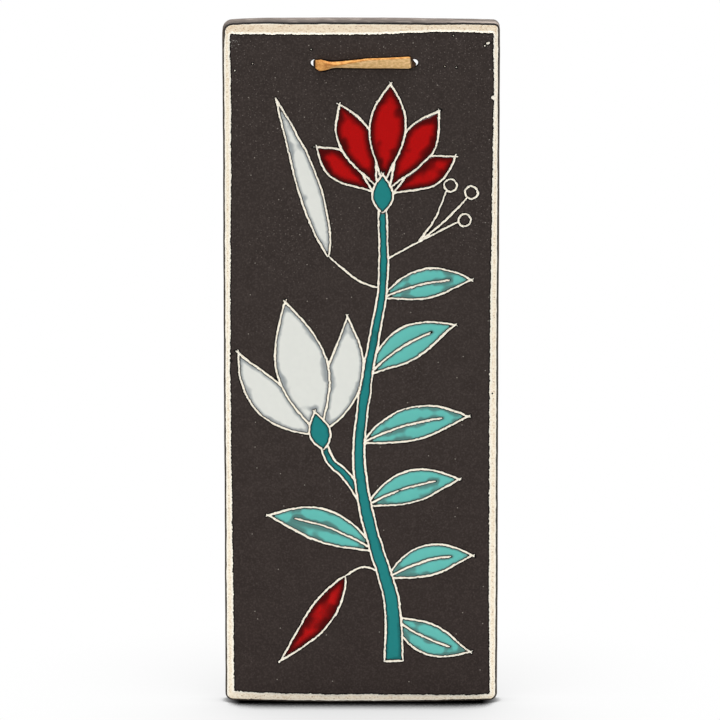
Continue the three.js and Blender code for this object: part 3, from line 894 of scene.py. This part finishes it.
def lace_loop():
    route = catmull_rom(LACE_ROUTE, LACE_STEPS, closed=True)
    centres, widths, thicknesses = route[:, :3], route[:, 3], route[:, 4]
    tangents = heading(centres, closed=True)
    wides = []
    for tangent, twist in zip(tangents, route[:, 5]):
        up = unit(np.array([0, 0, 1]) - tangent * tangent[2])
        wides.append(np.array(Matrix.Rotation(math.radians(twist), 3, Vector(tangent)) @ Vector(up)))
    widths = widths * (1 + drifts(len(route), LACE_DRIFTS))
    corners, faces = strip(centres, tangents, np.array(wides), widths, thicknesses, True)
    x, depth, height = np.moveaxis(corners, 2, 0)
    up = height * math.cos(CAMERA_ELEVATION) - depth * math.sin(CAMERA_ELEVATION)
    down = (up.max(1, keepdims=True) - up) / np.ptp(up, axis=1)[:, None]
    tone = np.maximum(ramp(route[:, 6:7] - down, -0.08, 0.08), 0.8 * ramp(down, 0.9, 1))
    tone = np.where(np.sin(turns(LACE_SECTION, 0.5)) < -0.5, 1.0, tone)
    # Painted shade: the lace is darkened past the crease into the right hole, where it comes out of the left
    # one, and inside both holes.
    folded = ramp(x + 0.09 * height, LACE_CREASE, LACE_CREASE + 0.4)
    entry = np.maximum(folded, smooth((LACE_EMERGES - x) / 0.5))
    lace_painted_shade = np.maximum(ramp(depth + THICKNESS, -0.9, -0.1), entry) * smooth(-depth / 1.5)
    return corners, faces, tone, lace_painted_shade


def knot_turn(through, up, width, thickness, tilt, shift):
    angle = turns(KNOT_STEPS)
    lean = math.radians(tilt)
    centres = np.stack([
        KNOT[0] + shift + up * np.sin(angle) * math.sin(lean),
        KNOT[1] + through * np.cos(angle),
        KNOT[2] + up * np.sin(angle) * math.cos(lean),
    ], 1)
    tangents = heading(centres, closed=True)
    outward = unit(centres - np.array(KNOT) - (shift, 0, 0))
    wides = unit(np.cross(outward, tangents))
    sizes = np.full((2, KNOT_STEPS), [[width], [thickness]])
    return *strip(centres, tangents, wides, *sizes, True), KNOT_TONE, 0


def lace_tail(points):
    route = resampled(catmull_rom(points, 20), TAIL_STATION)
    centres = route[:, :3]
    tangents = heading(centres)
    wides = unit(np.cross(np.array([0, 1, 0]), tangents))
    widths = route[:, 3] * (1 + drifts(len(route), LACE_DRIFTS))
    thick = np.full(len(route), TAIL_THICKNESS)
    return *strip(centres, tangents, wides, widths, thick, False), TAIL_TONE, 0


def leather_lace(material):
    shell = Shell(["leather"])
    parts = [lace_loop(), *(knot_turn(*turn) for turn in KNOT_TURNS), *map(lace_tail, TAILS)]
    for corners, faces, *measures in parts:
        even = np.zeros(corners.shape[:2])
        measures = np.stack([even + measure for measure in measures], 2)
        ids = shell.add_corners(corners.reshape(-1, 3), measures.reshape(-1, 2))
        for face in faces:
            shell.add_face(ids[list(face)], "leather")
    lace = bpy.data.objects.new("leather_lace", shell.mesh("leather_lace", ("tone", "lace_painted_shade")))
    lace.data.materials.append(material)
    return lace


# Materials


class Nodes:
    """A node tree that grows as its nodes are joined up."""

    def __init__(self, tree):
        self.nodes, self.links = tree.nodes, tree.links

    def add(self, kind, *inputs, **settings):
        node = self.nodes.new(kind)
        for key, value in settings.items():
            setattr(node, key, value)
        for socket, value in zip(node.inputs, inputs):
            self.put(socket, value)
        return node

    def put(self, socket, value):
        if isinstance(value, bpy.types.Node):
            value = value.outputs[0]
        if isinstance(value, bpy.types.NodeSocket):
            self.links.new(value, socket)
        elif value is not None:
            socket.default_value = value

    def calc(self, operation, *values):
        return self.add("ShaderNodeMath", *values, operation=operation)

    def times(self, a, b):
        return self.calc("MULTIPLY", a, b)

    def plus(self, a, b):
        return self.calc("ADD", a, b)

    def step(self, value, low, high, to_low=0.0, to_high=1.0):
        """A smooth step from to_low to to_high while the value goes from low to high."""
        values = (value, low, high, to_low, to_high)
        return self.add("ShaderNodeMapRange", *values, interpolation_type="SMOOTHSTEP")


class Shader(Nodes):
    """A material's nodes, with its patterns sized in millimetres."""

    def __init__(self, name, **values):
        self.material = bpy.data.materials.new(name)
        self.material.use_nodes = True
        super().__init__(self.material.node_tree)
        self.surface = self.nodes["Principled BSDF"]
        for key, value in values.items():
            self.surface.inputs[key.replace("_", " ")].default_value = value
        place = self.add("ShaderNodeTexCoord").outputs["Object"]
        self.place = self.add("ShaderNodeVectorMath", place, None, None, 1 / MM, operation="SCALE")

    def axis(self, name):
        return self.add("ShaderNodeSeparateXYZ", self.place).outputs[name]

    def measure(self, name):
        return self.add("ShaderNodeAttribute", attribute_name=name).outputs["Fac"]

    def noise(self, size, detail=2.0, stretch=(1, 1, 1)):
        """Noise from 0 to 1 with features about `size` mm wide, or wider along a stretched axis."""
        place = self.place.outputs[0]
        if stretch != (1, 1, 1):
            squeeze = tuple(1 / by for by in stretch)
            place = self.add("ShaderNodeVectorMath", place, squeeze, operation="MULTIPLY")
        return self.add("ShaderNodeTexNoise", place, None, 1 / size, detail)

    def cells(self, size):
        """Distance from, and colour of, the nearest of points about `size` mm apart, seen from the front."""
        flat = self.add("ShaderNodeCombineXYZ", self.axis("X"), self.axis("Z"))
        node = self.add("ShaderNodeTexVoronoi", flat, None, 1 / size, voronoi_dimensions="2D")
        return node.outputs["Distance"], node.outputs["Color"]

    def occlusion(self, reach):
        """How open the surroundings are within `reach` metres, from 0 to 1."""
        return self.add("ShaderNodeAmbientOcclusion", None, reach).outputs["AO"]

    def mix(self, share, a, b, blend="MIX"):
        node = self.add("ShaderNodeMix", data_type="RGBA", blend_type=blend)
        self.put(node.inputs["Factor"], share)
        for socket, value in ((node.inputs[6], a), (node.inputs[7], b)):
            self.put(socket, (*value, 1) if isinstance(value, tuple) else value)
        return node.outputs[2]

    def tint(self, colour, by, share=1.0):
        return self.mix(share, colour, by, "MULTIPLY")

    def bump(self, height, depth, before=None):
        """A bump whose height, from 0 to 1, is `depth` mm."""
        node = self.add("ShaderNodeBump")
        for key, value in (("Distance", depth * MM), ("Height", height), ("Normal", before)):
            self.put(node.inputs[key], value)
        return node

    def finish(self, colour, roughness=None, normal=None):
        for key, value in (("Base Color", colour), ("Roughness", roughness), ("Normal", normal)):
            self.put(self.surface.inputs[key], value)
        return self.material


def specks(shader, colour, size, radius, share, speck, within=1.0):
    """Scattered round specks over a colour, `radius` of their spacing wide."""
    distance, pick = shader.cells(size)
    dot = shader.times(shader.step(distance, radius / 2, radius, 1.0, 0.0), within)
    chosen = shader.step(shader.add("ShaderNodeSeparateColor", pick), 1 - share, 1 - share + 0.01)
    return shader.mix(shader.times(dot, chosen), colour, speck)


def ground_material():
    """Matt engobe, nearly black, sprayed on, with faint mottling, many tiny light specks, and painted shade
    round the lace.
    """
    shader = Shader("matt_engobe", Specular_IOR_Level=0.15)
    height = shader.axis("Z")
    colour = shader.mix(shader.noise(9, 3), (0.028, 0.020, 0.0172), (0.043, 0.0325, 0.0285))
    colour = shader.mix(shader.step(shader.noise(0.8, 3), 0.4, 0.8), colour, (0.060, 0.046, 0.041))
    # Darker and redder towards the bottom.
    colour = shader.tint(colour, (0.9, 0.86, 0.86), shader.step(height, -280, -120, 1.0, 0.0))
    dusty = shader.plus(shader.noise(22, 2), shader.step(height, -180, 20, 0.0, 0.3))
    dusty = shader.step(dusty, 0.5, 0.85, 0.12, 1.0)
    colour = specks(shader, colour, 2.6, 0.09, 0.45, (0.16, 0.136, 0.122), dusty)
    colour = specks(shader, colour, 1.7, 0.13, 0.4, (0.10, 0.084, 0.075), dusty)
    colour = specks(shader, colour, 11.0, 0.026, 0.4, (0.28, 0.25, 0.22))
    x, z, reach = SCUFFED
    patch = (x, -THICKNESS, z - HOLE_HEIGHT)
    away = shader.add("ShaderNodeVectorMath", shader.place, patch, operation="DISTANCE")
    scuffed = shader.step(away.outputs["Value"], reach * 0.3, reach, 1.0, 0.0)
    worn = shader.times(scuffed, shader.step(shader.noise(0.55, 1), 0.6, 0.7))
    colour = shader.mix(worn, colour, (0.36, 0.34, 0.31))
    # Darker within a fraction of a millimetre of the scraped lines, and painted shade round the lace.
    colour = shader.tint(colour, shader.step(shader.measure("gap"), 0.22, 0.72, 0.08, 1.0))
    return shader.finish(colour, 0.72, shader.bump(shader.noise(0.5, 3), 0.03))


def clay_material():
    """Bare cream clay, scraped open, with sand in it, palest where the scraper cut it last, and with a
    painted highlight along the slab's outer edge.
    """
    shader = Shader("scraped_clay", Specular_IOR_Level=0.25)
    colour = shader.mix(shader.noise(30, 2), (0.90, 0.80, 0.63), (0.94, 0.86, 0.71))
    grains = shader.step(shader.noise(0.55, 4, (1.5, 1, 1)), 0.42, 0.72)
    colour = shader.mix(grains, colour, (0.74, 0.60, 0.43))
    colour = specks(shader, colour, 1.9, 0.16, 0.3, (0.48, 0.36, 0.26))
    # Darker along the top of the border.
    colour = shader.tint(colour, (0.93, 0.885, 0.84), shader.step(shader.axis("Z"), 11.5, 12.8))
    fresh = shader.step(shader.measure("gap"), -1.0, -0.5)
    fresh = shader.times(fresh, shader.step(shader.noise(0.45, 3), 0.36, 0.56, 0.45, 1.0))
    # Painted highlight: a paler strip along the slab's outer edge, where the front turns into the rounded
    # edge.
    outer = shader.step(shader.measure("inset"), 1.2, 1.9, 0.8, 0.0)
    colour = shader.mix(shader.calc("MAXIMUM", fresh, outer), colour, (0.97, 0.925, 0.81))
    return shader.finish(colour, 0.88, shader.bump(shader.noise(0.45, 4), 0.1))


def glaze_material(name, thin, body, rim_reach, pool_reach, patchy, mottle):
    """A glossy pooled glaze: near-black where it thins out by a line, then thin, then its body."""
    shader = Shader(name, Roughness=0.13, IOR=1.5)
    fine = shader.calc("MULTIPLY_ADD", shader.noise(0.8, 2), 0.16, -0.08)
    edge = shader.plus(shader.measure("gap"), fine)
    widening = shader.step(shader.noise(11, 2), 0.5, 0.7, 1.0, 1.0 + patchy)
    pool = shader.calc("DIVIDE", edge, widening)
    colour = shader.mix(shader.step(pool, *pool_reach), thin, body)
    colour = shader.mix(shader.times(shader.noise(2.4, 3), mottle), colour, thin)
    colour = shader.mix(shader.step(edge, *rim_reach), (0.009, 0.007, 0.005), colour)
    return shader.finish(colour, None, shader.bump(shader.noise(2.2, 2), 0.015))


def rim_material():
    """The engobe over the slab's edge, thin and rubbed grey, with painted light on its upward faces and its
    right side, and nearly black along the border, partly as painted shade.
    """
    shader = Shader("rubbed_engobe_painted_light_and_shade", Specular_IOR_Level=0.3)
    depth, topness = shader.measure("gap"), shader.measure("inset")
    colour = shader.mix(shader.noise(12, 4, (2.5, 1, 1)), (0.095, 0.082, 0.074), (0.20, 0.178, 0.160))
    streaks = shader.step(shader.noise(1.0, 4, (5, 1, 1)), 0.5, 0.75)
    colour = shader.mix(streaks, colour, (0.33, 0.30, 0.27))
    # Painted light: the right side of the edge lighter, as if lit from the right; the rounding next to the
    # front is also darker than the sides.
    right = shader.times(shader.step(shader.axis("X"), 20, 50), 1.3)
    right = shader.times(right, shader.step(depth, 0.45, 0.85))
    right = shader.times(right, shader.step(depth, 1.0, 1.9, 1.0, 0.0))
    colour = shader.tint(colour, shader.plus(right, shader.step(depth, 0.8, 3.0, 0.64, 1.2)))
    # Painted light: faces that look up are lighter and greyer than the sides, as if lit from above.
    painted_top_light = shader.mix(shader.step(topness, 0.0, 0.6), (1.0, 0.9, 0.78), (1.2, 1.13, 1.1))
    colour = shader.tint(colour, painted_top_light)
    # Darkened where the edge meets the front, most along the top: partly the engobe's dark edge, partly
    # painted shade.
    ragged = shader.calc("MULTIPLY_ADD", topness, -0.4, shader.times(shader.noise(3, 3), 0.5))
    lip = shader.step(depth, 0.35, 0.85, shader.step(ragged, -0.15, 0.3, 0.06, 0.7), 1.0)
    return shader.finish(shader.tint(colour, lip), 0.66, shader.bump(shader.noise(0.5, 4), 0.06))


def hole_material():
    """The walls of the lace holes, coated, and painted near-black as the deep shade inside them."""
    shader = Shader("hole_painted_shade", Specular_IOR_Level=0.1)
    # Painted shade: near-black all over.
    return shader.finish(shader.mix(shader.noise(1.5, 3), (0.006, 0.005, 0.0045), (0.02, 0.016, 0.013)), 0.9)


def back_material():
    """Bare clay, with the engobe run over from the edge."""
    shader = Shader("bare_back", Specular_IOR_Level=0.25)
    colour = shader.mix(shader.noise(14, 4), (0.55, 0.43, 0.30), (0.70, 0.58, 0.43))
    colour = shader.mix(shader.step(shader.noise(0.6, 3), 0.55, 0.75), colour, (0.42, 0.31, 0.20))
    colour = shader.mix(shader.step(shader.noise(1.3, 1), 0.7, 0.76), colour, (0.34, 0.25, 0.17))
    colour = shader.mix(shader.step(shader.noise(38, 3), 0.5, 0.75, 0.0, 0.45), colour, (0.42, 0.32, 0.22))
    wander = shader.calc("MULTIPLY_ADD", shader.plus(shader.noise(8, 4), shader.noise(31, 2)), 7.5, -4.3)
    run = shader.calc("SUBTRACT", shader.measure("inset"), wander)
    colour = shader.mix(shader.step(run, -1.6, -0.7, 1.0, 0.0), colour, (0.07, 0.06, 0.052))
    normal = shader.bump(shader.noise(0.6, 4), 0.1)
    normal = shader.bump(shader.noise(1.2, 2, (1, 1, 14)), 0.08, normal)
    return shader.finish(colour, 0.9, normal)


def leather_material():
    """Vegetable-tanned leather: a beige flesh side, and an orange grain side and cut edge, with painted
    shade where it runs into and through the holes.
    """
    shader = Shader("laced_leather", Specular_IOR_Level=0.3)
    fibres = shader.step(shader.noise(0.8, 4, (2.2, 1, 1)), 0.32, 0.68)
    flesh = shader.mix(fibres, (0.55, 0.335, 0.12), (0.80, 0.52, 0.25))
    grain = shader.mix(fibres, (0.50, 0.19, 0.04), (0.80, 0.40, 0.115))
    wander = shader.calc("MULTIPLY_ADD", shader.noise(0.6, 3), 0.7, -0.35)
    tone = shader.plus(shader.measure("tone"), wander)
    colour = shader.mix(shader.step(tone, 0.3, 0.7), flesh, grain)
    colour = shader.mix(shader.step(shader.noise(0.35, 3), 0.6, 0.8, 0.0, 0.5), colour, (0.36, 0.17, 0.05))
    # Painted shade where the lace runs into the holes.
    colour = shader.mix(shader.measure("lace_painted_shade"), colour, (0.05, 0.021, 0.007))
    return shader.finish(colour, 0.75, shader.bump(shader.noise(0.3, 4, (2, 1, 1)), 0.1))


def slab_materials():
    """The slab's materials, in the order of their names."""
    glazes = [glaze_material(f"{name}_glaze", *values) for name, values in GLAZES.items()]
    return [ground_material(), clay_material(), *glazes, rim_material(), back_material(), hole_material()]


# The stage


def floor():
    """A white floor that glows rather than being lit, with painted shade from ambient occlusion where the
    plaque stands close to it, and dim where glazes mirror it.
    """
    half = FLOOR_RADIUS
    corners = [(x, y, FLOOR_Z * MM) for x, y in ((-half, -half), (half, -half), (half, half), (-half, half))]
    mesh = bpy.data.meshes.new("floor")
    mesh.from_pydata(corners, [], [(0, 1, 2, 3)])
    shader = Shader("pale_floor", Roughness=0.9, Specular_IOR_Level=0.0)
    # Painted shadow: the glow is darkened by ambient occlusion near the plaque, and less so beyond its
    # sides.
    close = shader.occlusion(0.024)
    toe = shader.times(shader.step(close, 0.505, 0.81), 0.3)
    near = shader.plus(shader.times(shader.step(close, 0.567, 0.778), 0.7), toe)
    beside = shader.step(shader.calc("ABSOLUTE", shader.axis("X")), 52, 64, 0.0, 0.75)
    near = shader.calc("MINIMUM", shader.plus(near, beside), 1.0)
    wide = shader.calc("POWER", shader.occlusion(0.12), 0.45)
    # The floor glows at a tenth of its strength as seen in mirrors.
    path = shader.add("ShaderNodeLightPath")
    strength = shader.step(path.outputs["Is Glossy Ray"], 0, 1, 1.0, 0.1)
    glow = shader.add("ShaderNodeEmission", shader.times(near, wide), strength)
    shader.put(shader.nodes["Material Output"].inputs["Surface"], glow)
    mesh.materials.append(shader.material)
    return bpy.data.objects.new("floor", mesh)


def light(name, place, size):
    lamp = bpy.data.lights.new(name, "AREA")
    lamp.shape = "RECTANGLE"
    lamp.size, lamp.size_y = size
    lamp.energy = LAMP_POWER
    holder = bpy.data.objects.new(name, lamp)
    holder.location = place
    aim = Vector(LAMP_TARGET) - Vector(place)
    holder.rotation_euler = aim.to_track_quat("-Z", "Y").to_euler()
    bpy.context.scene.collection.objects.link(holder)


def white_world():
    """Pure white behind everything, soft light that is stronger from above, and little to mirror."""
    world = bpy.data.worlds.new("studio")
    bpy.context.scene.world = world
    world.use_nodes = True
    sky = Nodes(world.node_tree)
    shown = sky.nodes["Background"]
    direction = sky.add("ShaderNodeSeparateXYZ", sky.add("ShaderNodeTexCoord"))
    sky.put(shown.inputs["Color"], WHITE)
    sky.put(shown.inputs["Strength"], sky.step(direction.outputs["Z"], -0.25, 0.5, 0.21, 0.85))
    path = sky.add("ShaderNodeLightPath")
    for ray, strength in (("Is Glossy Ray", 0.1), ("Is Camera Ray", 1.0)):
        other = sky.add("ShaderNodeBackground", WHITE, strength)
        shown = sky.add("ShaderNodeMixShader", path.outputs[ray], shown, other)
    sky.put(sky.nodes["World Output"].inputs["Surface"], shown)


def camera():
    centre = Vector((0, -THICKNESS / 2, -HOLE_HEIGHT)) * MM
    towards = Vector((0, -math.cos(CAMERA_ELEVATION), math.sin(CAMERA_ELEVATION)))
    data = bpy.data.cameras.new("camera")
    data.lens = CAMERA_LENS
    data.sensor_width = 36
    data.shift_x, data.shift_y = CAMERA_SHIFT
    data.clip_end = 20
    holder = bpy.data.objects.new("camera", data)
    holder.location = centre + towards * CAMERA_DISTANCE
    holder.rotation_euler = (centre - holder.location).to_track_quat("-Z", "Y").to_euler()
    bpy.context.scene.collection.objects.link(holder)
    bpy.context.scene.camera = holder


camera()
white_world()
for lamp in LAMPS:
    light(*lamp)
bpy.context.scene.view_settings.view_transform = "Standard"

collection = bpy.context.scene.collection
slab = fired_slab(slab_materials())
lace = leather_lace(leather_material())
ground = floor()
for piece in (slab, lace, ground):
    collection.objects.link(piece)
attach(slab, "root")
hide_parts("plaque")
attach(lace, "root")
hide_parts("hanging_lace")
